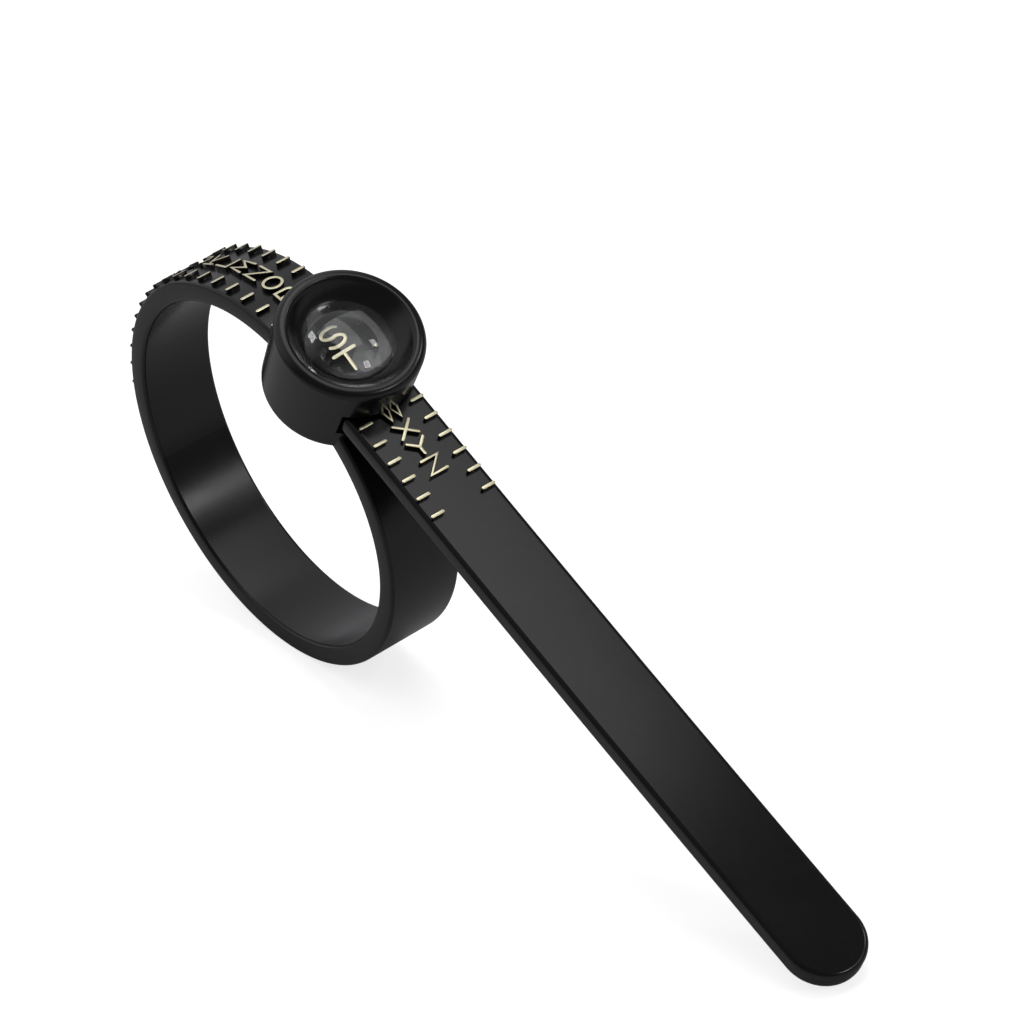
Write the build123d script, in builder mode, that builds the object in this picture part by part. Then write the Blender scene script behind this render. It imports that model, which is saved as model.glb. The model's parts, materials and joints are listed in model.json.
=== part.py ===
"""Belt-type finger-ring gauge: a moulded strap that loops back through its own magnifier head.

Millimetres, +Z up. X runs along the tail towards its tip, Y across the strap, and the
origin is on the table under the middle of the gauge, which stands on its loop and tail tip.

The gauge is drawn in the plane of its side view, (u, v): u runs along the sliding strap
and v along the head's axis, and the strap's centreline passes the head's axis at (0, 0).
A place on the strap is its distance from there: positive in the tail, negative in the loop.
"""
from build123d import *
from math import asin, atan2, cos, degrees, floor, hypot, pi, radians, sin
import os

# --- strap -------------------------------------------------------------------
strap_width = 4.65
strap_thickness = 1.2
tail_length = 42.75         # from the head's axis to the tip
tail_flat = 8.0             # the tail is flat this far from the head's axis, then bows upward
tail_bow_radius = 1000.0

# --- loop: straight in the slot, then three tangent arcs back to the head ------
slot_straight = 1.0
entry_radius = 11.1         # first quarter turn
root_inset = 0.3            # the arcs end this far past the head's axis, on the tail's side
root_gap = 0.2              # between the sliding strap and the moulded-on one
root_stub = 1.2             # the moulded-on strap stands out of the head this far

# --- size scale --------------------------------------------------------------
size_step = 1.25            # growth of the finger's girth from one letter to the next
reading = 18.66             # steps after A that lie under the lens
spare_marks = 2             # edge marks after Z
mark_height = 0.25
letter_height = 1.1         # along the strap
letter_width = 1.26         # across the strap
stroke_width = 0.17
tick_length = 0.88
tick_inset = 0.17           # from the strap's edge
tick_width = 0.19

# --- head and lens -----------------------------------------------------------
lens_radius = 2.5
lens_edge = 0.8
lens_dome_radius = 4.3
window_lip = 1.0            # the lens rests on a lip this wide
lip_thickness = 0.3
well_flare = 0.65           # the well widens by this from the lens to the rim
well_depth = 0.95
rim_width = 0.95
rim_round = 0.5
head_draft = 0.18           # the head is this much slimmer in radius at its base
head_floor = 0.4            # under the moulded-on strap
slot_gap = 0.1              # above the raised marks
slot_side_gap = 0.2
slot_floor_gap = 0.15
mouth_radius = 9.0          # the slot's floor curves down to the loop from mouth_start
mouth_start = 1.0

# --- the strap's division into stretches, which turn on one another ---------------
marks_per_stretch = 6
marked_stretches = 3
plain_stretches = 5
knuckle_gap = 0.05

half_thickness = strap_thickness / 2
root_offset = strap_thickness + root_gap
exit_radius = entry_radius - root_offset
main_radius = (entry_radius + exit_radius + slot_straight + root_inset) / 2
well_radius = lens_radius + well_flare
head_radius = well_radius + rim_width
slot_ceiling = half_thickness + mark_height + slot_gap
slot_floor = half_thickness + slot_floor_gap
lens_seat = slot_ceiling + lip_thickness
well_bottom = lens_seat + lens_edge
rim_height = well_bottom + well_depth
head_base = root_offset + half_thickness + head_floor

# Each arc: its centre (u, v), its radius, and the heading at its start and end in degrees.
# The heading is 0 where the strap leaves the slot and 360 where it comes back to the head.
entry_centre = (-slot_straight, -entry_radius)
main_centre = (entry_centre[0] - entry_radius + main_radius, -entry_radius)
exit_centre = (main_centre[0] + main_radius - exit_radius, -entry_radius)
loop_arcs = [
    (entry_centre, entry_radius, 0, 90),
    (main_centre, main_radius, 90, 270),
    (exit_centre, exit_radius, 270, 360),
]
loop_length = slot_straight + sum(radius * radians(end - start) for _, radius, start, end in loop_arcs)

# The gauge lies on the table on the bottom of its loop and the lower edge of its tail's tip.
bow = (tail_length - tail_flat) / tail_bow_radius
tip_u = tail_flat + (tail_bow_radius + half_thickness) * sin(bow)
tip_v = tail_bow_radius - (tail_bow_radius + half_thickness) * cos(bow)
reach_u = tip_u - main_centre[0]
reach_v = main_centre[1] - tip_v
loop_outside = main_radius + half_thickness
tilt = asin(loop_outside / hypot(reach_u, reach_v)) - atan2(reach_v, reach_u)
along = Vector(cos(tilt), 0, -sin(tilt))
upward = Vector(sin(tilt), 0, cos(tilt))
table_drop = main_centre[0] * along.Z + main_centre[1] * upward.Z - loop_outside
leftmost = main_centre[0] * along.X + main_centre[1] * upward.X - loop_outside - mark_height
rightmost = (tail_flat + tail_bow_radius * sin(bow)) * along.X
rightmost += (tail_bow_radius * (1 - cos(bow)) + half_thickness) * upward.X
head_point = Vector(-(leftmost + rightmost) / 2, 0, -table_drop)
side_plane = Plane(origin=head_point, x_dir=along, z_dir=(0, -1, 0))
head_plane = Plane(origin=head_point, x_dir=along, z_dir=upward)


def strap_place(distance):
    """The strap centreline's point in the side view, and its outward direction in degrees."""
    if distance >= tail_flat:
        turn = (distance - tail_flat) / tail_bow_radius
        lift = tail_bow_radius * (1 - cos(turn))
        return tail_flat + tail_bow_radius * sin(turn), lift, 90 + degrees(turn)
    if distance >= -slot_straight:
        return distance, 0, 90
    left = -distance - slot_straight
    for (centre_u, centre_v), radius, start, end in loop_arcs:
        turn = min(degrees(left / radius), end - start)
        left -= radius * radians(turn)
        outward = 90 + start + turn
        if left < 1e-9:
            break
    u = centre_u + radius * cos(radians(outward))
    v = centre_v + radius * sin(radians(outward))
    return u, v, outward


def strap_band(near, far):
    """The strap's side profile between two distances into the loop, drawn in a sketch."""
    if near < slot_straight:
        with Locations((-(near + slot_straight) / 2, 0)):
            Rectangle(slot_straight - near, strap_thickness)
    arc_start = slot_straight
    for centre, radius, start, end in loop_arcs:
        arc_end = arc_start + radius * radians(end - start)
        first = max(near, arc_start)
        last = min(far, arc_end)
        if first < last:
            outward = 90 + start + degrees((first - arc_start) / radius)
            turn = degrees((last - first) / radius)
            with BuildLine() as outline:
                outer = CenterArc(centre, radius + half_thickness, outward, turn)
                inner = CenterArc(centre, radius - half_thickness, outward, turn)
                Line(outer @ 0, inner @ 0)
                Line(outer @ 1, inner @ 1)
            make_face(outline.edges())
        arc_start = arc_end


def knuckle(distance, radius, mode=Mode.ADD):
    """A round on the hinge line that crosses the strap at a distance into the loop."""
    u, v, _ = strap_place(-distance)
    with Locations((u, v)):
        Circle(radius, mode=mode)


def arc_points(centre_x, centre_y, radius_x, radius_y, first, last):
    """Points along part of an ellipse, in letter units."""
    steps = max(2, round(abs(last - first) / 45))
    turns = [radians(first + (last - first) * step / steps) for step in range(steps + 1)]
    return [(centre_x + radius_x * cos(turn), centre_y + radius_y * sin(turn)) for turn in turns]


# Plain stroke letters on a square from (0, 0) to (1, 1).
ring_of_o = arc_points(0.5, 0.5, 0.5, 0.5, 0, 360)
bowl_of_p = [(0, 0), (0, 1), (0.6, 1)] + arc_points(0.6, 0.74, 0.36, 0.26, 90, -90) + [(0, 0.48)]
letters = {
    "A": [[(0, 0), (0.5, 1), (1, 0)], [(0.2, 0.35), (0.8, 0.35)]],
    "B": [
        [(0, 0), (0, 1), (0.6, 1)] + arc_points(0.6, 0.76, 0.32, 0.24, 90, -90) + [(0, 0.52)],
        [(0.6, 0.52)] + arc_points(0.64, 0.26, 0.36, 0.26, 90, -90) + [(0, 0)],
    ],
    "C": [arc_points(0.5, 0.5, 0.5, 0.5, 45, 315)],
    "D": [[(0, 0), (0, 1), (0.45, 1)] + arc_points(0.45, 0.5, 0.55, 0.5, 90, -90) + [(0, 0)]],
    "E": [[(1, 1), (0, 1), (0, 0), (1, 0)], [(0, 0.5), (0.8, 0.5)]],
    "F": [[(1, 1), (0, 1), (0, 0)], [(0, 0.5), (0.8, 0.5)]],
    "G": [arc_points(0.5, 0.5, 0.5, 0.5, 45, 360) + [(0.55, 0.5)]],
    "H": [[(0, 0), (0, 1)], [(1, 0), (1, 1)], [(0, 0.5), (1, 0.5)]],
    "I": [[(0.5, 0), (0.5, 1)]],
    "J": [[(0.9, 1), (0.9, 0.3)] + arc_points(0.5, 0.3, 0.4, 0.3, 0, -180)],
    "K": [[(0, 0), (0, 1)], [(1, 1), (0, 0.42)], [(0.3, 0.6), (1, 0)]],
    "L": [[(0, 1), (0, 0), (0.9, 0)]],
    "M": [[(0, 0), (0.1, 1), (0.5, 0.2), (0.9, 1), (1, 0)]],
    "N": [[(0, 0), (0, 1), (1, 0), (1, 1)]],
    "O": [ring_of_o],
    "P": [bowl_of_p],
    "Q": [ring_of_o, [(0.6, 0.35), (1, -0.05)]],
    "R": [bowl_of_p, [(0.5, 0.48), (1, 0)]],
    "S": [arc_points(0.5, 0.74, 0.42, 0.26, 30, 270) + arc_points(0.5, 0.26, 0.42, 0.26, 90, -150)],
    "T": [[(0, 1), (1, 1)], [(0.5, 1), (0.5, 0)]],
    "U": [[(0, 1), (0, 0.35)] + arc_points(0.5, 0.35, 0.5, 0.35, 180, 360) + [(1, 1)]],
    "V": [[(0, 1), (0.5, 0), (1, 1)]],
    "W": [[(0, 1), (0.22, 0), (0.5, 0.9), (0.78, 0), (1, 1)]],
    "X": [[(0, 0), (1, 1)], [(0, 1), (1, 0)]],
    "Y": [[(0, 1), (0.5, 0.5), (1, 1)], [(0.5, 0.5), (0.5, 0)]],
    "Z": [[(0, 1), (1, 1), (0, 0), (1, 0)]],
}
alphabet = sorted(letters)
last_mark = len(alphabet) - 1 + spare_marks


def draw_letter(letter):
    """One letter in a sketch whose x is the letter's right and y its up."""
    inner_width = letter_width - stroke_width
    inner_height = letter_height - stroke_width
    for stroke in letters[letter]:
        corners = [((x - 0.5) * inner_width, (y - 0.5) * inner_height) for x, y in stroke]
        for (x0, y0), (x1, y1) in zip(corners, corners[1:]):
            length = hypot(x1 - x0, y1 - y0)
            if length < 1e-6:
                continue
            middle = ((x0 + x1) / 2, (y0 + y1) / 2)
            with Locations(Location(middle + (0,), (0, 0, degrees(atan2(y1 - y0, x1 - x0))))):
                SlotCenterToCenter(length, stroke_width)


def raise_marks(first, last):
    """Edge ticks and letters, from one size to another, on the strap's outer face."""
    sink = 0.02
    for size in range(first, last + 1):
        u, v, outward = strap_place((size - reading) * size_step)
        out = (cos(radians(outward)), sin(radians(outward)))
        level = half_thickness - sink
        spot = side_plane.from_local_coords(Vector(u + level * out[0], v + level * out[1]))
        normal = along * out[0] + upward * out[1]
        with BuildSketch(Plane(origin=spot, x_dir=(0, 1, 0), z_dir=normal)) as outline:
            tick_middle = (strap_width - tick_length) / 2 - tick_inset
            with Locations((-tick_middle, 0), (tick_middle, 0)):
                Rectangle(tick_length, tick_width)
            if size < len(alphabet):
                draw_letter(alphabet[size])
        extrude(outline.sketch, amount=mark_height + sink)


# --- hinge lines, as distances into the loop, from the tail's towards the head's root -------
tail_hinge = (reading - (floor(reading) - 0.5)) * size_step
marked_length = marks_per_stretch * size_step
hinges = [tail_hinge + marked_length * count for count in range(marked_stretches + 1)]
root_turn = asin((head_radius + root_stub - exit_centre[0]) / exit_radius)
root_hinge = loop_length - exit_radius * root_turn
plain_length = (root_hinge - hinges[-1]) / plain_stretches
hinges += [hinges[-1] + plain_length * count for count in range(1, plain_stretches + 1)]

os.makedirs("parts", exist_ok=True)


def finish(piece, name):
    """Label one sub-part and write it."""
    piece.part.label = name
    export_step(piece.part, f"parts/{name}.step")


# --- head: a cylinder with the strap's root moulded on, a well for the lens and a slot ----
with BuildPart() as magnifier_head:
    head_height = head_base + rim_height
    with BuildSketch(head_plane.offset(-head_base)):
        Circle(head_radius - head_draft)
    extrude(amount=head_height, taper=-degrees(atan2(head_draft, head_height)))
    rims = magnifier_head.edges().filter_by(GeomType.CIRCLE)
    fillet(rims, min(rim_round, rim_width / 2))
    with BuildSketch(side_plane):
        strap_band(root_hinge, loop_length)
        knuckle(root_hinge, half_thickness)
    extrude(amount=strap_width / 2, both=True)
    with BuildSketch(side_plane):
        with BuildLine():
            Polyline(
                (0, 0),
                (lens_radius - window_lip, 0),
                (lens_radius - window_lip, lens_seat),
                (lens_radius, lens_seat),
                (lens_radius, well_bottom),
                (well_radius, rim_height),
                (0, rim_height),
                close=True,
            )
        make_face()
    revolve(axis=Axis(head_point, upward), mode=Mode.SUBTRACT)
    with BuildSketch(side_plane):
        beyond = head_radius + 1
        fall = asin((beyond + mouth_start) / mouth_radius)
        with BuildLine():
            ceiling = Line((beyond, slot_ceiling), (-beyond, slot_ceiling))
            flat = Line((beyond, -slot_floor), (mouth_start, -slot_floor))
            mouth = CenterArc(
                (mouth_start, -slot_floor - mouth_radius), mouth_radius, 90, degrees(fall)
            )
            Line(ceiling @ 0, flat @ 0)
            Line(ceiling @ 1, mouth @ 1)
        make_face()
    extrude(amount=strap_width / 2 + slot_side_gap, both=True, mode=Mode.SUBTRACT)
finish(magnifier_head, "magnifier_head")

# --- lens: a flat-backed dome that sits on the window's lip --------------------------
with BuildPart() as magnifier_lens:
    with BuildSketch(side_plane):
        dome_centre = well_bottom - (lens_dome_radius**2 - lens_radius**2) ** 0.5
        edge_angle = degrees(atan2(well_bottom - dome_centre, lens_radius))
        with BuildLine():
            dome = CenterArc((0, dome_centre), lens_dome_radius, edge_angle, 90 - edge_angle)
            Polyline(dome @ 0, (lens_radius, lens_seat), (0, lens_seat), dome @ 1)
        make_face()
    revolve(axis=Axis(head_point, upward))
finish(magnifier_lens, "magnifier_lens")

# --- the loop's stretches, numbered from the head's root -----------------------------
stretches = []
for number, (far, near) in enumerate(zip(hinges[::-1], hinges[-2::-1]), start=1):
    with BuildPart() as stretch:
        with BuildSketch(side_plane):
            strap_band(near, far)
            knuckle(near, half_thickness)
            knuckle(far, half_thickness + knuckle_gap, mode=Mode.SUBTRACT)
        extrude(amount=strap_width / 2, both=True)
    finish(stretch, f"strap_stretch_{number}")
    stretches.append(stretch)

# --- tail: through the slot to a round tip --------------------------------------------
with BuildPart() as strap_tail:
    with BuildSketch(side_plane):
        strap_band(0, tail_hinge)
        knuckle(tail_hinge, half_thickness + knuckle_gap, mode=Mode.SUBTRACT)
        with Locations((tail_flat / 2, 0)):
            Rectangle(tail_flat, strap_thickness)
        bow_centre = (tail_flat, tail_bow_radius)
        with BuildLine():
            top = CenterArc(bow_centre, tail_bow_radius - half_thickness, -90, degrees(bow))
            under = CenterArc(bow_centre, tail_bow_radius + half_thickness, -90, degrees(bow))
            Line(top @ 0, under @ 0)
            Line(top @ 1, under @ 1)
        make_face()
    extrude(amount=strap_width / 2, both=True)
    tip_corners = strap_tail.edges().group_by(Axis.X)[-1] + strap_tail.edges().group_by(Axis.X)[-2]
    tip_corners = [edge for edge in tip_corners if abs(edge.length - strap_thickness) < 0.01]
    fillet(tip_corners, strap_width / 2 - 0.01)
finish(strap_tail, "strap_tail")

# --- raised size marks, one group on each stretch that carries them --------------------
mark_groups = [(strap_tail, "size_marks_tail", floor(reading), last_mark)]
for count in range(marked_stretches):
    last = floor(reading) - 1 - count * marks_per_stretch
    first = max(0, last - marks_per_stretch + 1)
    number = len(stretches) - count
    mark_groups.append((stretches[number - 1], f"size_marks_stretch_{number}", first, last))
for strap, name, first, last in mark_groups:
    with BuildPart() as marks:
        raise_marks(first, last)
        add(strap.part, mode=Mode.SUBTRACT)
    finish(marks, name)
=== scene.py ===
# %% [markdown]
# # A belt-type finger gauge
#
# This gauge measures a finger: a black plastic strap goes round the finger and back through
# the round head it is moulded to, and a small domed lens in the head magnifies the letter
# that has come under it. We build what the eye sees around a packed mechanical model that
# already fixes every size, so the first thing to do is to load that model.

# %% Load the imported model
import json
from math import asin, atan2, cos, degrees, pi, radians, sin

import bmesh
import bpy
from mathutils import Matrix, Vector


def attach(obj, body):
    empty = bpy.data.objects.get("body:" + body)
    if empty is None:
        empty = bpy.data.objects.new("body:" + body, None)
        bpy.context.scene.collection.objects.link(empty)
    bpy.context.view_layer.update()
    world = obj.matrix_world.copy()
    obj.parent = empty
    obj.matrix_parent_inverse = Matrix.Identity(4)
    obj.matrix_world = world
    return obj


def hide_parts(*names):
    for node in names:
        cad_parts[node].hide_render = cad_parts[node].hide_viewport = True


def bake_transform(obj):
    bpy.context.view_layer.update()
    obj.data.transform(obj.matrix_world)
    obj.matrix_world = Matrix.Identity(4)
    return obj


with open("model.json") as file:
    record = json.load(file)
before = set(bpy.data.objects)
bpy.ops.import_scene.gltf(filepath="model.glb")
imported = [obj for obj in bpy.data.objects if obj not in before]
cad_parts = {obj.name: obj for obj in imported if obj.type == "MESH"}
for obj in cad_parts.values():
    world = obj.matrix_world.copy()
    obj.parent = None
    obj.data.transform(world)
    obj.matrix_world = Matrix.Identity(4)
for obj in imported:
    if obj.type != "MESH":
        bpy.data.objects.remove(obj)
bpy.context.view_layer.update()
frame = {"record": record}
MM = 0.001
same_place = 1e-7

# %% [markdown]
# ## Where things are
#
# The gauge is easiest to think of from the side. Let u run along the sliding strap and v up
# the head's axis, with the strap's middle line passing that axis at (0, 0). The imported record
# gives the flat underside of the head as a mount, with its place and its direction, and that
# is enough to carry (u, v) into the world. A place on the strap is its distance from the
# head's axis: positive out along the tail, negative round the loop.

# %% The side view's axes
strap_width = 4.65 * MM
strap_thickness = 1.2 * MM
head_base = 2.4 * MM

underside = next(m for m in frame["record"]["mounts"] if m["name"] == "head_underside")
upward = -Vector(underside["axis"])
across = Vector((0, 1, 0))
along = across.cross(upward)
head_point = Vector(underside["pos_m"]) + upward * head_base
print("the strap leans", round(degrees(asin(-along.z)), 2), "degrees")


def from_side(u, v, y=0.0):
    """A point of the side view, in the world."""
    return head_point + along * u + upward * v + across * y


# %% [markdown]
# ## The strap's line
#
# From the tip of the tail the strap's middle line is a very slight bow, then it is straight
# through the slot, and then three tangent arcs bring it round to the head again. Writing the
# line as a short list of stretches, each with its length, its centre and the way it turns,
# lets one function walk along it and lets Blender's spin operator do the bending.

# %% The stretches of the strap's line
tail_length = 42.75 * MM
tail_flat = 8.0 * MM
tail_bow_radius = 1.0
slot_straight = 1.0 * MM
entry_radius = 11.1 * MM
main_radius = 11.05 * MM
exit_radius = 9.7 * MM

main_u = main_radius - entry_radius - slot_straight
exit_u = main_u + main_radius - exit_radius
bow_turn = (tail_length - tail_flat) / tail_bow_radius

# Each stretch: its length, its centre in the side view, its radius (negative where the line
# curves the other way), and the outward direction where it begins.
line_stretches = [
    (tail_length - tail_flat, (tail_flat, tail_bow_radius), -tail_bow_radius, pi / 2 + bow_turn),
    (tail_flat + slot_straight, None, None, pi / 2),
    (entry_radius * pi / 2, (-slot_straight, -entry_radius), entry_radius, pi / 2),
    (main_radius * pi, (main_u, -entry_radius), main_radius, pi),
    (exit_radius * pi / 2, (exit_u, -entry_radius), exit_radius, 2 * pi),
]
line_length = sum(stretch[0] for stretch in line_stretches)
loop_end = tail_length - line_length
print("the loop takes", round(-loop_end / MM, 2), "mm of strap")


def line_frame(distance):
    """Matrix at a place on the strap's line: x across it, y towards the loop's end, z outward."""
    left = tail_length - distance
    for length, centre, radius, outward in line_stretches:
        if left <= length + 1e-9:
            break
        left -= length
    u, v = distance, 0
    if centre:
        outward += left / radius
        u, v = centre[0] + radius * cos(outward), centre[1] + radius * sin(outward)
    out = along * cos(outward) + upward * sin(outward)
    place = Matrix((across, out.cross(across), out)).transposed().to_4x4()
    place.translation = from_side(u, v)
    return place


# %% [markdown]
# ## Camera
#
# The gauge stands on its loop and on the tip of its tail. A long lens some quarter of a metre
# away keeps the perspective of such a small thing mild. We look from the right and from above,
# with the camera rolled a little.

# %% Camera
view_azimuth = radians(54.965)
view_elevation = radians(35.432)
view_roll = radians(-7.744)
view_distance = 263.93 * MM
aim = Vector((-1.027, 3.438, 13.459)) * MM

toward_camera = Vector((
    sin(view_azimuth) * cos(view_elevation),
    -cos(view_azimuth) * cos(view_elevation),
    sin(view_elevation),
))
level_right = Vector((cos(view_azimuth), sin(view_azimuth), 0))
straight_up = toward_camera.cross(level_right)
right = level_right * cos(view_roll) + straight_up * sin(view_roll)
top = toward_camera.cross(right)
camera_data = bpy.data.cameras.new("camera")
camera_data.lens = 175.74
camera_data.sensor_width = 36
camera_data.clip_start = 0.01
camera = bpy.data.objects.new("camera", camera_data)
camera.matrix_world = (
    Matrix.Translation(aim + toward_camera * view_distance)
    @ Matrix((right, top, toward_camera)).transposed().to_4x4()
)
bpy.context.collection.objects.link(camera)
bpy.context.scene.camera = camera
bpy.context.scene.view_settings.view_transform = "Standard"


# %% [markdown]
# ## Shader maths as Python
#
# Wiring dozens of nodes by hand hides the idea of a material. This small class wraps an
# output socket, so that 0.3 + grain * 0.1 adds the Math nodes by itself.

# %% A socket that can be added and multiplied
class Signal:
    """One output socket of a material, with Python's operators."""

    def __init__(self, paint, socket):
        self.paint = paint
        self.socket = socket

    def _maths(self, operation, first, second):
        return self.paint.node("ShaderNodeMath", {"operation": operation}, {0: first, 1: second})

    def __add__(self, other):
        return self._maths("ADD", self, other)

    __radd__ = __add__

    def __mul__(self, other):
        return self._maths("MULTIPLY", self, other)


class Paint:
    """A node material, or a sky, with short names for the nodes it is made of."""

    def __init__(self, name, sky=False):
        self.material = (bpy.data.worlds if sky else bpy.data.materials).new(name)
        self.material.use_nodes = True
        self.tree = self.material.node_tree
        self.tree.nodes.clear()
        output_kind = "ShaderNodeOutputWorld" if sky else "ShaderNodeOutputMaterial"
        self.output = self.tree.nodes.new(output_kind)

    def node(self, kind, settings=None, values=None, output=0):
        """Add one node with its settings and its inputs, and give one of its outputs."""
        node = self.tree.nodes.new(kind)
        for key, value in (settings or {}).items():
            if key == "stops":
                ramp = node.color_ramp
                for (place, colour), element in zip(value, ramp.elements):
                    element.position = place
                    element.color = colour
                for place, colour in value[2:]:
                    ramp.elements.new(place).color = colour
            else:
                setattr(node, key, value)
        for key, value in (values or {}).items():
            if isinstance(value, Signal):
                self.tree.links.new(value.socket, node.inputs[key])
            else:
                node.inputs[key].default_value = value
        return Signal(self, node.outputs[output])

    def noise(self, size, detail=3.0, roughness=0.55):
        """Soft random grain whose lumps are about this many metres across."""
        place = self.node("ShaderNodeTexCoord", output="Object")
        values = {"Vector": place, "Scale": 1 / size, "Detail": detail, "Roughness": roughness}
        return self.node("ShaderNodeTexNoise", {}, values)

    def mix(self, factor, first, second):
        """A colour between two others; a Mix node's colour sockets are its sixth and seventh."""
        values = {0: factor, 6: first, 7: second}
        return self.node("ShaderNodeMix", {"data_type": "RGBA"}, values, 2)

    def bump(self, height, depth, strength):
        """Fine relief of a depth in metres."""
        values = {"Height": height, "Distance": depth, "Strength": strength}
        return self.node("ShaderNodeBump", {}, values)

    def surface(self, **values):
        """Finish with a Principled shader, whose inputs are given by name."""
        values = {key.replace("_", " "): value for key, value in values.items()}
        return self.finish(self.node("ShaderNodeBsdfPrincipled", {}, values))

    def finish(self, shader):
        """Join a shader to the output."""
        self.tree.links.new(shader.socket, self.output.inputs["Surface"])
        return self.material


# %% [markdown]
# ## Black satin plastic
#
# The strap and head are one injection moulding in black plastic with a fine spark-eroded
# satin. The colour is close to black and even. What gives it away as plastic is a broad,
# soft reflection, slightly uneven where the mould was polished, and a fine grain that is
# felt more than seen. The tail is the glossiest; the head and the loop are a little duller.

# %% Black satin plastic
def satin_plastic(name, roughness):
    """Near-black moulded plastic."""
    paint = Paint(name)
    grain = paint.noise(0.06 * MM, detail=2.0)
    flow = paint.noise(3.0 * MM, detail=3.0)
    dust = paint.noise(0.35 * MM, detail=4.0, roughness=0.7)
    colour = paint.mix(flow, (0.0040, 0.0040, 0.0044, 1), (0.0060, 0.0060, 0.0065, 1))
    height = grain * 0.6 + dust * 0.4
    return paint.surface(
        Base_Color=colour,
        Roughness=roughness - 0.05 + flow * 0.06 + dust * 0.05,
        Normal=paint.bump(height, 0.004 * MM, 0.5),
    )


black_plastic = satin_plastic("black satin plastic", 0.18)
loop_plastic = satin_plastic("black loop plastic", 0.23)
head_plastic = satin_plastic("black head plastic", 0.22)
print("made", black_plastic.name, "and", head_plastic.name)

# %% [markdown]
# ## Pale gold foil
#
# The tops of the raised letters and ticks are hot-foiled in pale gold. Foil that thin is
# nearly all metal under a little lacquer: warm, pale and slightly patchy.

# %% Pale gold foil
def gold_foil(name):
    """Hot-stamped foil on raised plastic."""
    paint = Paint(name)
    patch = paint.noise(0.12 * MM, detail=3.0)
    colour = paint.mix(patch, (0.86, 0.78, 0.50, 1), (0.98, 0.93, 0.70, 1))
    return paint.surface(
        Base_Color=colour,
        Metallic=0.92,
        Roughness=0.26 + patch * 0.14,
        Normal=paint.bump(patch, 0.006 * MM, 0.4),
    )


gold = gold_foil("pale gold foil")

# %% [markdown]
# ## Clear acrylic
#
# The lens is a polished dome of clear acrylic. Real refraction does the magnifying: the
# letters below are seen through it larger than they are.

# %% Clear acrylic
def clear_acrylic(name):
    """Polished, very slightly smoked acrylic."""
    paint = Paint(name)
    haze = paint.noise(0.8 * MM, detail=2.0)
    return paint.surface(
        Base_Color=(0.97, 0.975, 0.98, 1),
        Roughness=haze * 0.03,
        IOR=1.49,
        Transmission_Weight=1.0,
    )


acrylic = clear_acrylic("clear acrylic")

# %% [markdown]
# ## A bent bar with Blender's spin
#
# The strap is a flat bar with softly rounded edges. One way would be a curve with a bevel,
# but then the bends would be only as true as the curve. We start instead from the bar's end
# face, round its corners, keep its outline, and spin that outline about each arc's centre.

# %% The strap's section
edge_round = 0.2 * MM
round_steps = 4
allowed_sag = 0.002 * MM
straight_step = 0.5 * MM
half_thickness = strap_thickness / 2


def new_section(mesh, distance, rounded=True):
    """The outline of the strap's section, standing at a place on its line."""
    upright = Matrix.Rotation(pi / 2, 4, "X")
    size = Matrix.Diagonal((strap_width, strap_thickness, 1, 1))
    made = bmesh.ops.create_grid(
        mesh, x_segments=1, y_segments=1, size=0.5, matrix=line_frame(distance) @ upright @ size
    )
    if rounded:
        bmesh.ops.bevel(
            mesh, geom=made["verts"], offset=edge_round, segments=round_steps,
            profile=0.5, affect="VERTICES", material=-1,
        )
    bmesh.ops.delete(mesh, geom=mesh.faces[:], context="FACES_ONLY")
    return mesh.edges[:]


def sweep(mesh, outline, near, far):
    """Carry an outline along the strap's line from one place to another nearer the loop's end."""
    begin = tail_length
    for length, centre, radius, _ in line_stretches:
        first, last = min(near, begin), max(far, begin - length)
        begin -= length
        if first - last < 1e-9:
            continue
        step = (8 * abs(radius) * allowed_sag) ** 0.5 if centre else straight_step
        steps = max(1, round((first - last) / step))
        if centre:
            corners = list({vert for edge in outline for vert in edge.verts})
            made = bmesh.ops.spin(
                mesh, geom=outline + corners, cent=from_side(*centre), axis=-across,
                angle=(first - last) / radius, steps=steps,
            )["geom_last"]
            outline = [part for part in made if isinstance(part, bmesh.types.BMEdge)]
            continue
        for _ in range(steps):
            made = bmesh.ops.extrude_edge_only(mesh, edges=outline)["geom"]
            ends = {part for part in made if isinstance(part, bmesh.types.BMVert)}
            bmesh.ops.translate(mesh, verts=list(ends), vec=along * (last - first) / steps)
            outline = [edge for edge in mesh.edges if ends.issuperset(edge.verts)]
    return outline


# %% [markdown]
# ## From bmesh to a finished piece
#
# Every piece ends the same way: its normals are made to point outwards, edges that turn
# sharply are kept crisp, and a Weighted Normal modifier keeps broad faces looking flat right
# up to their rounded edges.

# %% Finish a piece
crisp_angle = radians(40)
area_only = 100


def finish_piece(name, mesh, materials, crisp=crisp_angle, weighted=True, recalculate=True):
    """Turn a bmesh into a linked object with its materials."""
    if recalculate:
        bmesh.ops.recalc_face_normals(mesh, faces=mesh.faces[:])
    for face in mesh.faces:
        face.smooth = True
    for edge in mesh.edges:
        if len(edge.link_faces) == 2 and edge.calc_face_angle(0) > crisp:
            edge.smooth = False
    data = bpy.data.meshes.new(name)
    mesh.to_mesh(data)
    mesh.free()
    for material in materials:
        data.materials.append(material)
    piece = bpy.data.objects.new(name, data)
    bpy.context.collection.objects.link(piece)
    if weighted:
        modifier = piece.modifiers.new("flat faces stay flat", "WEIGHTED_NORMAL")
        modifier.keep_sharp = True
        modifier.weight = area_only
    return piece
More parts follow.
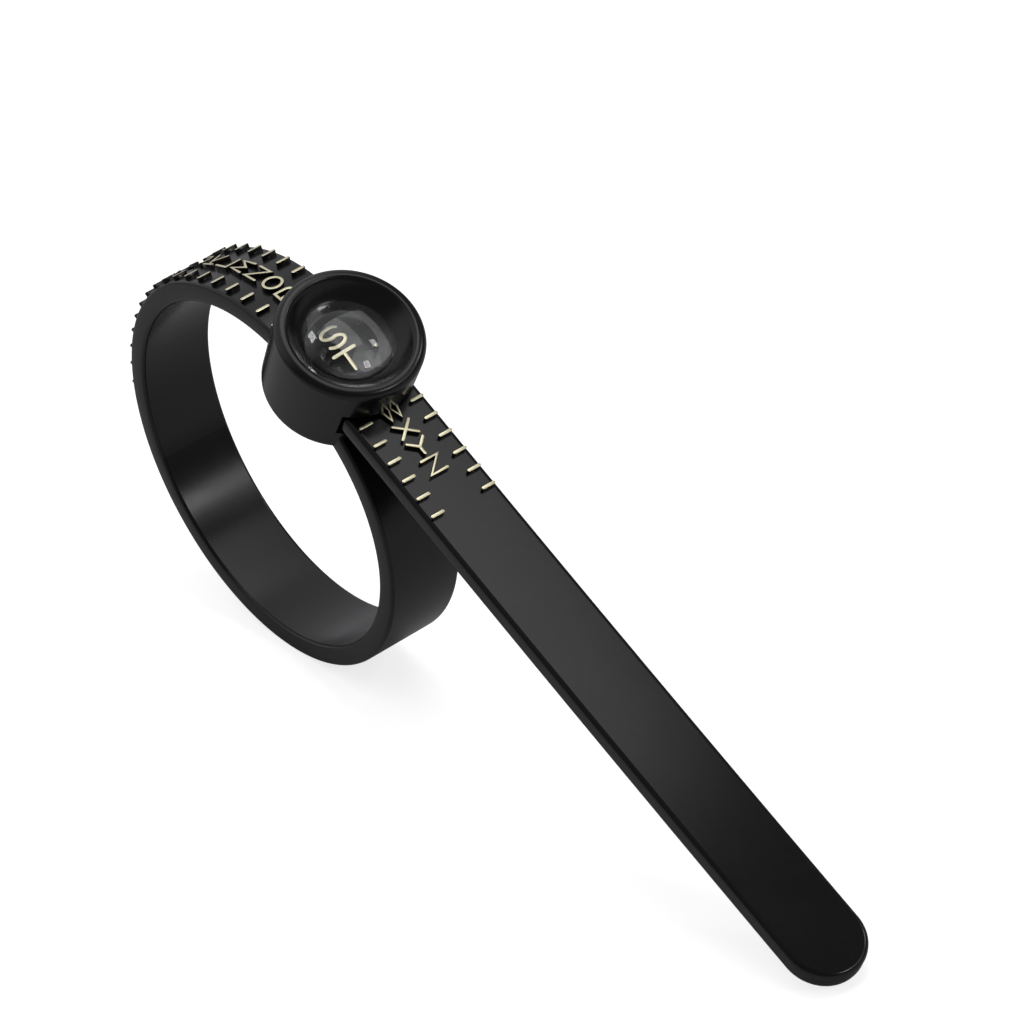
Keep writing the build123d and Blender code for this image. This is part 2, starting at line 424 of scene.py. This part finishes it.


# %% [markdown]
# ## The loop
#
# On the real gauge the strap flexes anywhere. The imported model lets it flex at nine hinge
# lines, so we cut the visible strap halfway between them, and each length is swept along the
# strap's line across its own hinge.

# %% Where the visible strap is cut
size_step = 1.25 * MM
reading = 18.66
tail_hinge_size = 17.5
marks_per_stretch = 6
marked_stretches = 3
plain_stretches = 5
stretch_count = marked_stretches + plain_stretches
root_hinge_u = 5.3 * MM
root_bend = 1.5 * MM
root_in_head = 1.0 * MM


def mark_place(size):
    """Where a size's mark stands on the strap's line; A is size 0."""
    return (size - reading) * size_step


tail_hinge = mark_place(tail_hinge_size)
marked_length = marks_per_stretch * size_step
hinges = [tail_hinge - marked_length * count for count in range(marked_stretches + 1)]
root_turn = asin((root_hinge_u - exit_u) / exit_radius)
root_hinge = loop_end + exit_radius * root_turn
plain_length = (hinges[-1] - root_hinge) / plain_stretches
hinges += [hinges[-1] - plain_length * count for count in range(1, plain_stretches + 1)]
middles = [(a + b) / 2 for a, b in zip(hinges, hinges[1:])]
tail_cut = tail_hinge + marked_length / 2
root_cut = loop_end + root_in_head
cuts = [tail_cut] + middles + [root_cut]

# %% Bend each length of the loop
bend_bodies = [(f"stretch_{stretch_count}", "tail")]
bend_bodies += [(f"stretch_{n - 1}", f"stretch_{n}") for n in range(stretch_count, 1, -1)]
bend_bodies += [("head", "stretch_1")]


def bend_across(piece, index):
    """Find where the strap's line stands at two cuts, which nothing uses, and bake the piece's
    place into its mesh.
    """
    far = cuts[index + 1] if index < stretch_count else root_hinge - root_bend
    line_frame(far).translation
    line_frame(cuts[index]).translation
    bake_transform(piece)


for index in range(len(bend_bodies)):
    mesh = bmesh.new()
    outline = new_section(mesh, cuts[index])
    sweep(mesh, outline, cuts[index], cuts[index + 1])
    bmesh.ops.holes_fill(mesh, edges=mesh.edges[:])
    number = len(bend_bodies) - index
    piece = finish_piece(f"strap_bend_{number}", mesh, [loop_plastic])
    bend_across(piece, index)
    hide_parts(f"strap_stretch_{min(stretch_count, number)}")
print("loop in", len(bend_bodies), "lengths")

# %% [markdown]
# ## The tail
#
# The tail is the same bar, but its tip is a half round seen from above. Bevelling the two
# upright corners of the tip by nearly half the width makes that round and leaves a tiny flat
# between them. A second, small bevel then runs round all the long edges at once.

# %% The tail
tail_edge_round = 0.3 * MM
tip_flat = 0.04 * MM
tip_steps = 24
mesh = bmesh.new()
outline = new_section(mesh, tail_length, rounded=False)
tip_face = bmesh.ops.contextual_create(mesh, geom=outline)["faces"]
sweep(mesh, outline, tail_length, tail_cut)
tip_corners = [
    edge for edge in tip_face[0].edges
    if abs((edge.verts[0].co - edge.verts[1].co).dot(across)) < 1e-6
]
bmesh.ops.bevel(
    mesh, geom=tip_corners, offset=(strap_width - tip_flat) / 2, segments=tip_steps,
    profile=0.5, affect="EDGES", material=-1,
)
long_edges = [
    edge for edge in mesh.edges
    if len(edge.link_faces) == 2 and edge.calc_face_angle(0) > crisp_angle
]
bmesh.ops.bevel(
    mesh, geom=long_edges, offset=tail_edge_round, segments=round_steps,
    profile=0.5, affect="EDGES", material=-1,
)
bmesh.ops.holes_fill(mesh, edges=mesh.edges[:])
tail = finish_piece("tail", mesh, [black_plastic])
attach(tail, "tail")
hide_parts("strap_tail")

# %% [markdown]
# ## The head
#
# The head is a turned shape: a drum with rounded rims, very slightly wider at the top, and a
# well that slopes down to the lens. Under the lens a window opens on the strap. Spinning half
# the outline about the axis makes it, and a Boolean then cuts the slot in which the strap
# slides, whose floor curves down to follow the loop.

# %% The drum's outline
head_radius = 4.1 * MM
head_draft = 0.18 * MM
rim_height = 3.0 * MM
rim_round = 0.475 * MM
lip_width = 0.3 * MM
lip_round = 0.25 * MM
well_radius = 3.15 * MM
well_top = 2.6 * MM
well_round = 0.2 * MM
well_bottom = 2.05 * MM
groove_width = 0.14 * MM
groove_depth = 0.06 * MM
lens_radius = 2.5 * MM
lens_seat = 1.25 * MM
window_radius = 1.5 * MM
slot_ceiling = 0.95 * MM
slot_floor = 0.75 * MM
head_steps = 160
lens_steps = 128


def spun(mesh, corners, rounds, steps):
    """Turn (radius, height) corners, some of them rounded, about the head's axis."""
    points = [mesh.verts.new(from_side(radius, height)) for radius, height in corners]
    for first, second in zip(points, points[1:]):
        mesh.edges.new((first, second))
    for index, radius in rounds.items():
        bmesh.ops.bevel(
            mesh, geom=[points[index]], offset=radius, segments=6,
            profile=0.5, affect="VERTICES", material=-1,
        )
    bmesh.ops.spin(
        mesh, geom=mesh.verts[:] + mesh.edges[:], cent=head_point, axis=upward,
        angle=2 * pi, steps=steps, use_merge=True,
    )
    bmesh.ops.remove_doubles(mesh, verts=mesh.verts[:], dist=same_place)


mesh = bmesh.new()
spun(mesh, [
    (0, -head_base),
    (head_radius - head_draft, -head_base),
    (head_radius, rim_height),
    (well_radius + lip_width, rim_height),
    (well_radius, well_top),
    (lens_radius + groove_width, well_bottom + groove_depth),
    (lens_radius, well_bottom),
    (lens_radius, lens_seat),
    (window_radius, lens_seat),
    (window_radius, 0),
    (0, 0),
], {1: rim_round, 2: rim_round, 3: lip_round, 4: well_round}, head_steps)
drum = finish_piece("magnifier_head_shell", mesh, [head_plastic], weighted=False)

# %% [markdown]
# The cutter is the slot's side view given a width. Its floor is an arc that falls away
# towards the loop, made by spinning a single edge.

# %% Cut the slot
side_clearance = 0.2 * MM
mouth_radius = 9.0 * MM
mouth_start = 1.0 * MM
mouth_steps = 24
overcut = 1.0 * MM
slot_half_width = strap_width / 2 + side_clearance
beyond = head_radius + overcut
mesh = bmesh.new()
slot_corners = [
    mesh.verts.new(from_side(beyond, -slot_floor, side * slot_half_width)) for side in (-1, 1)
]
rail = [mesh.edges.new(slot_corners)]
made = bmesh.ops.extrude_edge_only(mesh, edges=rail)["geom"]
moved = [g for g in made if isinstance(g, bmesh.types.BMVert)]
bmesh.ops.translate(mesh, verts=moved, vec=along * (mouth_start - beyond))
rail = [e for e in mesh.edges if all(v in moved for v in e.verts)]
bmesh.ops.spin(
    mesh, geom=rail + moved, cent=from_side(mouth_start, -slot_floor - mouth_radius),
    axis=-across, angle=asin((beyond + mouth_start) / mouth_radius), steps=mouth_steps,
)
made = bmesh.ops.extrude_face_region(mesh, geom=mesh.faces[:], use_keep_orig=True)["geom"]
for vert in [g for g in made if isinstance(g, bmesh.types.BMVert)]:
    height = (vert.co - head_point).dot(upward)
    vert.co += upward * (slot_ceiling - height)
bmesh.ops.recalc_face_normals(mesh, faces=mesh.faces[:])
cutter = finish_piece("slot cutter", mesh, [], weighted=False)
cut = drum.modifiers.new("slot", "BOOLEAN")
cut.operation = "DIFFERENCE"
cut.solver = "EXACT"
cut.object = cutter
bpy.context.view_layer.update()
carved_drum = drum.evaluated_get(bpy.context.evaluated_depsgraph_get())
mesh = bmesh.new()
mesh.from_mesh(bpy.data.meshes.new_from_object(carved_drum))
bmesh.ops.remove_doubles(mesh, verts=mesh.verts[:], dist=same_place)
bpy.data.objects.remove(drum)
bpy.data.objects.remove(cutter)
head = finish_piece(
    "magnifier_head_shell", mesh, [head_plastic], crisp=radians(30), recalculate=False
)
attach(head, "head")
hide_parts("magnifier_head")
print("head faces", len(head.data.polygons))

# %% [markdown]
# ## The lens
#
# A plano-convex dome with a short cylindrical edge that is pressed into the head. Its
# profile is one arc, so it is spun from an arc that is itself spun from a single point.

# %% The lens
dome_radius = 4.3 * MM
dome_steps = 24
dome_centre = well_bottom - (dome_radius**2 - lens_radius**2) ** 0.5
mesh = bmesh.new()
start = mesh.verts.new(from_side(lens_radius, well_bottom))
angle = atan2(well_bottom - dome_centre, lens_radius)
bmesh.ops.spin(
    mesh, geom=[start], cent=from_side(0, dome_centre), axis=-across,
    angle=pi / 2 - angle, steps=dome_steps,
)
seat = mesh.verts.new(from_side(lens_radius, lens_seat))
middle = mesh.verts.new(from_side(0, lens_seat))
mesh.edges.new((start, seat))
mesh.edges.new((seat, middle))
bmesh.ops.spin(
    mesh, geom=mesh.verts[:] + mesh.edges[:], cent=head_point, axis=upward,
    angle=2 * pi, steps=lens_steps, use_merge=True,
)
bmesh.ops.remove_doubles(mesh, verts=mesh.verts[:], dist=same_place)
lens = finish_piece("domed_lens", mesh, [acrylic], weighted=False)
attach(lens, "head")
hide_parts("magnifier_lens")

# %% [markdown]
# ## Raised letters and ticks
#
# The sizes are plain stroke letters, so each is kept as the strokes of a pen, in a square one
# unit wide and one unit high.

# %% The letters as pen strokes
letter_height = 1.1 * MM
letter_width = 1.26 * MM
stroke_width = 0.17 * MM
mark_height = 0.25 * MM
tick_length = 0.88 * MM
tick_inset = 0.17 * MM
tick_width = 0.19 * MM
spare_marks = 2
bow_step = 15


def bow_points(centre_x, centre_y, radius_x, radius_y, first, last):
    """Points along part of an ellipse, in letter units, from one angle to another."""
    steps = max(3, round(abs(last - first) / bow_step))
    turns = [radians(first + (last - first) * step / steps) for step in range(steps + 1)]
    return [(centre_x + radius_x * cos(turn), centre_y + radius_y * sin(turn)) for turn in turns]


ring_of_o = bow_points(0.5, 0.5, 0.5, 0.5, 0, 360)
bowl_of_p = [
    (0, 0), (0, 1), (0.6, 1), *bow_points(0.6, 0.74, 0.36, 0.26, 90, -90)[1:], (0, 0.48)
]
letters = {
    "A": [[(0, 0), (0.5, 1), (1, 0)], [(0.2, 0.35), (0.8, 0.35)]],
    "B": [
        [(0, 0), (0, 1), (0.6, 1)] + bow_points(0.6, 0.76, 0.32, 0.24, 90, -90)[1:] + [(0, 0.52)],
        [(0.6, 0.52)] + bow_points(0.64, 0.26, 0.36, 0.26, 90, -90)[1:] + [(0, 0)],
    ],
    "C": [bow_points(0.5, 0.5, 0.5, 0.5, 45, 315)],
    "D": [[(0, 0), (0, 1), (0.45, 1)] + bow_points(0.45, 0.5, 0.55, 0.5, 90, -90)[1:] + [(0, 0)]],
    "E": [[(1, 1), (0, 1), (0, 0), (1, 0)], [(0, 0.5), (0.8, 0.5)]],
    "F": [[(1, 1), (0, 1), (0, 0)], [(0, 0.5), (0.8, 0.5)]],
    "G": [bow_points(0.5, 0.5, 0.5, 0.5, 45, 360) + [(0.55, 0.5)]],
    "H": [[(0, 0), (0, 1)], [(1, 0), (1, 1)], [(0, 0.5), (1, 0.5)]],
    "I": [[(0.5, 0), (0.5, 1)]],
    "J": [[(0.9, 1), (0.9, 0.3)] + bow_points(0.5, 0.3, 0.4, 0.3, 0, -180)[1:]],
    "K": [[(0, 0), (0, 1)], [(1, 1), (0, 0.42)], [(0.3, 0.6), (1, 0)]],
    "L": [[(0, 1), (0, 0), (0.9, 0)]],
    "M": [[(0, 0), (0.1, 1), (0.5, 0.2), (0.9, 1), (1, 0)]],
    "N": [[(0, 0), (0, 1), (1, 0), (1, 1)]],
    "O": [ring_of_o],
    "P": [bowl_of_p],
    "Q": [ring_of_o, [(0.6, 0.35), (1, -0.05)]],
    "R": [bowl_of_p, [(0.5, 0.48), (1, 0)]],
    "S": [
        bow_points(0.5, 0.74, 0.42, 0.26, 30, 270) + bow_points(0.5, 0.26, 0.42, 0.26, 90, -150)[1:]
    ],
    "T": [[(0, 1), (1, 1)], [(0.5, 1), (0.5, 0)]],
    "U": [[(0, 1), (0, 0.35)] + bow_points(0.5, 0.35, 0.5, 0.35, 180, 360)[1:] + [(1, 1)]],
    "V": [[(0, 1), (0.5, 0), (1, 1)]],
    "W": [[(0, 1), (0.22, 0), (0.5, 0.9), (0.78, 0), (1, 1)]],
    "X": [[(0, 0), (1, 1)], [(0, 1), (1, 0)]],
    "Y": [[(0, 1), (0.5, 0.5), (1, 1)], [(0.5, 0.5), (0.5, 0)]],
    "Z": [[(0, 1), (1, 1), (0, 0), (1, 0)]],
}

# %% [markdown]
# A stroke becomes a raised bar in three operator steps: its first edge is extruded from point
# to point into a ribbon, the ribbon is extruded down into a wall, and the top edge is
# bevelled. An open stroke runs on a little past its ends and narrows there, which rounds them.

# %% One raised stroke
stroke_sink = 0.05 * MM
mark_bevel = 0.022 * MM
end_reach = 0.4
end_taper = 0.5
sharpest_mitre = 0.5
foiled_tilt = 0.6


def stroke_sides(points, width):
    """The left and right point beside each corner of a pen stroke, mitred where it turns."""
    closed = (points[0] - points[-1]).length < same_place
    if not closed:
        first = (points[0] - points[1]).normalized() * width * end_reach
        last = (points[-1] - points[-2]).normalized() * width * end_reach
        points = [points[0] + first] + points + [points[-1] + last]
    headings = [(two - one).normalized() for one, two in zip(points, points[1:])]
    before = [headings[-1] if closed else headings[0]] + headings
    after = headings + [headings[0] if closed else headings[-1]]
    sides = []
    for point, one, two in zip(points, before, after):
        lean = (one + two).normalized()
        reach = Vector((-lean.y, lean.x, 0)) * width / 2 / max(sharpest_mitre, lean.dot(two))
        sides.append((point + reach, point - reach))
    if not closed:
        for end in (0, -1):
            middle = (sides[end][0] + sides[end][1]) / 2
            sides[end] = tuple(middle.lerp(side, end_taper) for side in sides[end])
    return sides


def raised_stroke(mesh, points, width, rise, place):
    """A bar with a bevelled top along a pen stroke, standing on a plane whose z is outward."""
    sides = stroke_sides([Vector(point).to_3d() for point in points], width)
    bar = bmesh.new()
    left, right_side = (bar.verts.new(corner) for corner in sides[0])
    bar.edges.new((left, right_side))
    for next_left, next_right in sides[1:]:
        edge = bar.edges.get((left, right_side))
        made = bmesh.ops.extrude_edge_only(bar, edges=[edge])["geom"]
        moved = [part for part in made if isinstance(part, bmesh.types.BMVert)]
        left = next(vert for vert in moved if bar.edges.get((vert, left)))
        right_side = next(vert for vert in moved if vert is not left)
        left.co, right_side.co = next_left, next_right
    bmesh.ops.remove_doubles(bar, verts=bar.verts[:], dist=width * 0.01)
    bmesh.ops.recalc_face_normals(bar, faces=bar.faces[:])
    made = bmesh.ops.extrude_face_region(bar, geom=bar.faces[:], use_keep_orig=True)["geom"]
    lowered = [part for part in made if isinstance(part, bmesh.types.BMVert)]
    bmesh.ops.translate(bar, verts=bar.verts[:], vec=(0, 0, rise))
    bmesh.ops.translate(bar, verts=lowered, vec=(0, 0, -rise - stroke_sink))
    rim = [
        edge for edge in bar.edges
        if all(vert.co.z > rise / 2 for vert in edge.verts) and edge.calc_face_angle(0) > 1
    ]
    bmesh.ops.bevel(
        bar, geom=rim, offset=mark_bevel, segments=2, profile=0.5, affect="EDGES", material=-1,
    )
    bmesh.ops.recalc_face_normals(bar, faces=bar.faces[:])
    for face in bar.faces:
        face.material_index = 1 if face.normal.z > foiled_tilt else 0
    bmesh.ops.transform(bar, matrix=place, verts=bar.verts[:])
    stroke = bpy.data.meshes.new("stroke")
    bar.to_mesh(stroke)
    bar.free()
    mesh.from_mesh(stroke)
    bpy.data.meshes.remove(stroke)


# %% [markdown]
# ## The size scale
#
# Every size has a letter in the middle of the strap and a tick at each edge, and two spare
# ticks follow Z. They stand on the strap's outer face one size step apart, so each mark's
# place on the line is known from the reading under the lens. Where two strokes of a letter
# cross, the second is a hair lower, so that their tops never lie in one plane. The marks on
# one length of the loop are one piece.

# %% Raise the marks
alphabet = sorted(letters)
stroke_step = 0.004 * MM


def raise_mark(mesh, size):
    """The letter and the two ticks of one size."""
    face = line_frame(mark_place(size)) @ Matrix.Translation((0, 0, strap_thickness / 2))
    tick_middle = (strap_width - tick_length) / 2 - tick_inset
    half_tick = tick_length / 2 - tick_width * end_reach
    for side in (-1, 1):
        ends = [(side * tick_middle - half_tick, 0), (side * tick_middle + half_tick, 0)]
        raised_stroke(mesh, ends, tick_width, mark_height, face)
    if size >= len(alphabet):
        return
    for index, stroke in enumerate(letters[alphabet[size]]):
        points = [
            ((x - 0.5) * (letter_width - stroke_width), (y - 0.5) * (letter_height - stroke_width))
            for x, y in stroke
        ]
        raised_stroke(mesh, points, stroke_width, mark_height - index * stroke_step, face)


def raise_marks(name, sizes, nodes):
    """One piece that holds the marks of several sizes."""
    mesh = bmesh.new()
    for size in sizes:
        raise_mark(mesh, size)
    piece = finish_piece(name, mesh, [black_plastic, gold], recalculate=False)
    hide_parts(*nodes)
    print(name, "holds", len(sizes), "sizes and", len(piece.data.polygons), "faces")
    return piece


all_sizes = range(len(alphabet) + spare_marks)
for index in range(marked_stretches + 1):
    sizes = [s for s in all_sizes if cuts[index + 1] < mark_place(s) <= cuts[index]]
    node = f"size_marks_stretch_{max(plain_stretches + 1, stretch_count - index)}"
    marks = raise_marks(f"size_marks_bend_{len(bend_bodies) - index}", sizes, [node])
    bend_across(marks, index)
tail_sizes = [s for s in all_sizes if mark_place(s) > tail_cut]
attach(raise_marks("size_marks_on_tail", tail_sizes, ["size_marks_tail"]), "tail")

# %% [markdown]
# ## Floor and light
#
# Black satin plastic shows hardly any colour of its own. What we see on it is the room,
# mirrored faintly, so the size and place of each light matter more than its strength.
#
# The table is white paper to the camera. What the plastic mirrors is a grey card instead,
# because white paper all round would make its dark sides too light; the Is Camera Ray input
# chooses between the two. The sky is dim and lighter on the left. The near top box lights the
# gold, and its edge gives the tail its change from bright to dark; the right box lights the
# loop's outside, and two small lamps make the bright spots in the lens.

# %% Floor
mesh = bmesh.new()
bmesh.ops.create_grid(mesh, x_segments=1, y_segments=1, size=2.0)
table_paint = Paint("white table")
paper_grain = table_paint.noise(0.2)
paper_colour = table_paint.mix(paper_grain, (0.86, 0.86, 0.86, 1), (0.88, 0.88, 0.88, 1))
paper = table_paint.node("ShaderNodeBsdfPrincipled", {}, {
    "Base Color": paper_colour,
    "Roughness": 0.9,
    "Emission Color": (1, 1, 1, 1),
    "Emission Strength": 0.75,
})
grey_card = table_paint.node("ShaderNodeBsdfDiffuse", {}, {"Color": (0.66, 0.66, 0.67, 1)})
seen = table_paint.node("ShaderNodeLightPath", output="Is Camera Ray")
either = table_paint.node("ShaderNodeMixShader", {}, {0: seen, 1: grey_card, 2: paper})
table_top = table_paint.finish(either)
table = finish_piece("white_table", mesh, [table_top], weighted=False)

# %% Sky
sky = Paint("dim studio", sky=True)
direction = sky.node("ShaderNodeTexCoord", output="Generated")
toward_left = sky.node(
    "ShaderNodeVectorMath", {"operation": "DOT_PRODUCT"},
    {0: direction, 1: (-0.8, -0.1, 0.6)}, "Value",
)
stops = [(0.42, (0.11, 0.11, 0.11, 1)), (0.7, (0.58, 0.58, 0.60, 1))]
shade = sky.node("ShaderNodeValToRGB", {"stops": stops}, {0: toward_left})
background = sky.node("ShaderNodeBackground", {}, {"Color": shade, "Strength": 1.0})
bpy.context.scene.world = sky.finish(background)


# %% Soft boxes
def soft_box(name, distance, direction, width, length, brightness):
    """A rectangular light in a direction from the head, in millimetres, wide along the tail."""
    data = bpy.data.lights.new(name, "AREA")
    data.shape = "RECTANGLE"
    data.size = width * MM
    data.size_y = length * MM
    data.energy = brightness * pi * data.size * data.size_y
    light = bpy.data.objects.new(name, data)
    bpy.context.collection.objects.link(light)
    facing = Vector(direction).normalized()
    side = facing.cross(along).normalized()
    light.matrix_world = (
        Matrix.Translation(head_point + facing * distance * MM)
        @ Matrix((side.cross(facing), side, facing)).transposed().to_4x4()
    )


soft_box("top box", 89, (0.05, 0.24, 0.95), 85, 56, 1.25)
soft_box("right box", 400, (0.66, 0.57, 0.48), 150, 150, 0.8)
soft_box("lamp behind", 395, (0.349, 0.742, 0.572), 60, 60, 6)
soft_box("lamp beside", 395, (0.78, 0.36, 0.51), 65, 65, 6)
